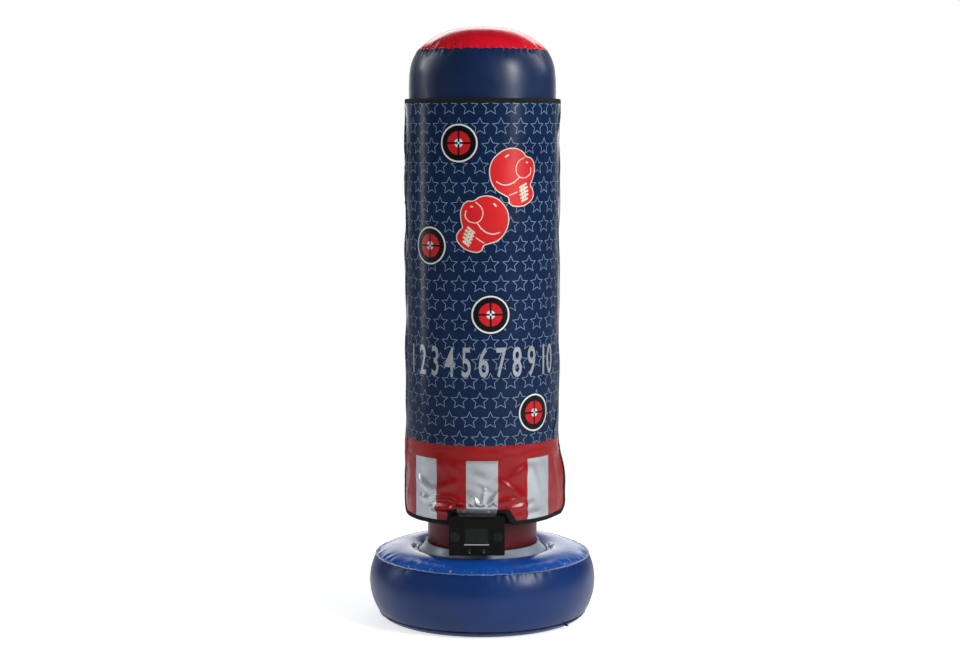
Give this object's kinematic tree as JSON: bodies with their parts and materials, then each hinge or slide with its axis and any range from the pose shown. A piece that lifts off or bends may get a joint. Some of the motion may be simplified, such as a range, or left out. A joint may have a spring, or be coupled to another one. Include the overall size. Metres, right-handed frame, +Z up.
{
  "type": "inflatable boxing bag",
  "caption": "Free-standing inflatable boxing bag on a weighted ring base, with a padded target mat and a battery scoring console that rocks back when hit.",
  "frame": {"origin": "middle of the base ring's flat underside, on the floor", "axes": "+Z up along the bag; the target mat and console face -Y; +X is to the right seen from the front"},
  "size_m": [0.5776, 0.5776, 1.5],
  "materials": {
    "navy_vinyl": "gloss",
    "blue_vinyl": "gloss",
    "red_vinyl": "gloss",
    "dark_red_vinyl": "gloss",
    "printed_vinyl": "satin",
    "lining_cloth": "matte",
    "foam": "matte",
    "webbing": "matte",
    "sensor_film": "satin",
    "ribbon_cable": "satin",
    "ballast": "satin",
    "valve_plastic": "satin",
    "black_plastic": "satin",
    "silver_trim": "satin",
    "lens": "gloss",
    "circuit_board": "satin",
    "display": "satin",
    "silicone": "matte",
    "steel": "satin",
    "cell_jacket": "satin"
  },
  "bodies": {
    "base": {"base_side_panel": "blue_vinyl", "base_top_panel": "blue_vinyl", "base_bottom_panel": "blue_vinyl", "base_ballast": "ballast", "neck_gusset": "blue_vinyl", "base_air_valve": "valve_plastic", "base_fill_port": "valve_plastic"},
    "base_air_plug": {"base_air_plug": "valve_plastic"},
    "base_fill_plug": {"base_fill_plug": "valve_plastic"},
    "neck_collar": {"neck_weld_collar": "dark_red_vinyl"},
    "left_button": {"left_button": "black_plastic"},
    "right_button": {"right_button": "black_plastic"},
    "battery_door": {"battery_door": "black_plastic", "battery_door_screw": "steel"},
    "column_air_plug": {"column_air_plug": "valve_plastic"},
    "bag": {"neck_panel": "dark_red_vinyl", "shoulder_panel": "dark_red_vinyl", "column_side_panel": "navy_vinyl", "column_top_panel": "red_vinyl", "column_bottom_panel": "navy_vinyl", "column_air_valve": "valve_plastic", "mat_face_sheet": "printed_vinyl", "mat_foam_pad": "foam", "mat_lining": "lining_cloth", "mat_binding": "webbing", "sensor_ribbon": "ribbon_cable", "hanger_bracket": "silver_trim", "hanger_back_strip": "silver_trim", "hanger_rivet_left": "steel", "hanger_rivet_right": "steel", "console_front_shell": "black_plastic", "console_back_shell": "black_plastic", "console_bezel": "black_plastic", "screen_lens": "lens", "console_trim_bar": "silver_trim", "left_button_dome": "silicone", "right_button_dome": "silicone", "main_circuit_board": "circuit_board", "display_module": "display", "left_speaker": "black_plastic", "right_speaker": "black_plastic", "battery_1": "cell_jacket", "battery_2": "cell_jacket", "battery_3": "cell_jacket", "battery_contact_left": "steel", "battery_contact_right": "steel", "impact_sensor_1": "sensor_film", "shell_screw_1": "steel", "impact_sensor_2": "sensor_film", "shell_screw_2": "steel", "impact_sensor_3": "sensor_film", "shell_screw_3": "steel", "impact_sensor_4": "sensor_film", "shell_screw_4": "steel", "back_strap_upper_left": "webbing", "back_strap_upper_right": "webbing", "back_strap_middle_left": "webbing", "back_strap_middle_right": "webbing", "back_strap_lower_left": "webbing", "back_strap_lower_right": "webbing"}
  },
  "joints": [
    {"name": "bag_lean", "type": "hinge", "parent": "base", "child": "neck_collar", "pos_m": [0, 0, 0.1949], "axis": [-1, 0, 0], "range_deg": [-2, 15], "stiffness_Nm_per_rad": 80, "deforming": ["neck_gusset"]},
    {"name": "bag_sway", "type": "hinge", "parent": "neck_collar", "child": "bag", "pos_m": [0, 0, 0.1949], "axis": [0, 1, 0], "range_deg": [-4, 4], "stiffness_Nm_per_rad": 80, "deforming": ["neck_gusset"]},
    {"name": "left_button_press", "type": "slide", "parent": "bag", "child": "left_button", "axis": [0, 1, 0], "range_m": [0, 0.001], "stiffness_N_per_m": 400, "springref_m": -0.0005, "deforming": ["left_button_dome"]},
    {"name": "right_button_press", "type": "slide", "parent": "bag", "child": "right_button", "axis": [0, 1, 0], "range_m": [0, 0.001], "stiffness_N_per_m": 400, "springref_m": -0.0005, "deforming": ["right_button_dome"]},
    {"name": "battery_door_swing", "type": "hinge", "parent": "bag", "child": "battery_door", "pos_m": [-0.014, -0.1811, 0.2647], "axis": [1, 0, 0], "range_deg": [0, 35]},
    {"name": "column_air_plug_pull", "type": "slide", "parent": "bag", "child": "column_air_plug", "axis": [0, 1, 0], "range_m": [0, 0.01]},
    {"name": "base_air_plug_pull", "type": "slide", "parent": "base", "child": "base_air_plug", "axis": [-0.4476, 0, 0.8942], "range_m": [0, 0.01]},
    {"name": "base_fill_plug_pull", "type": "slide", "parent": "base", "child": "base_fill_plug", "axis": [0.4476, 0, 0.8942], "range_m": [0, 0.01]}
  ]
}
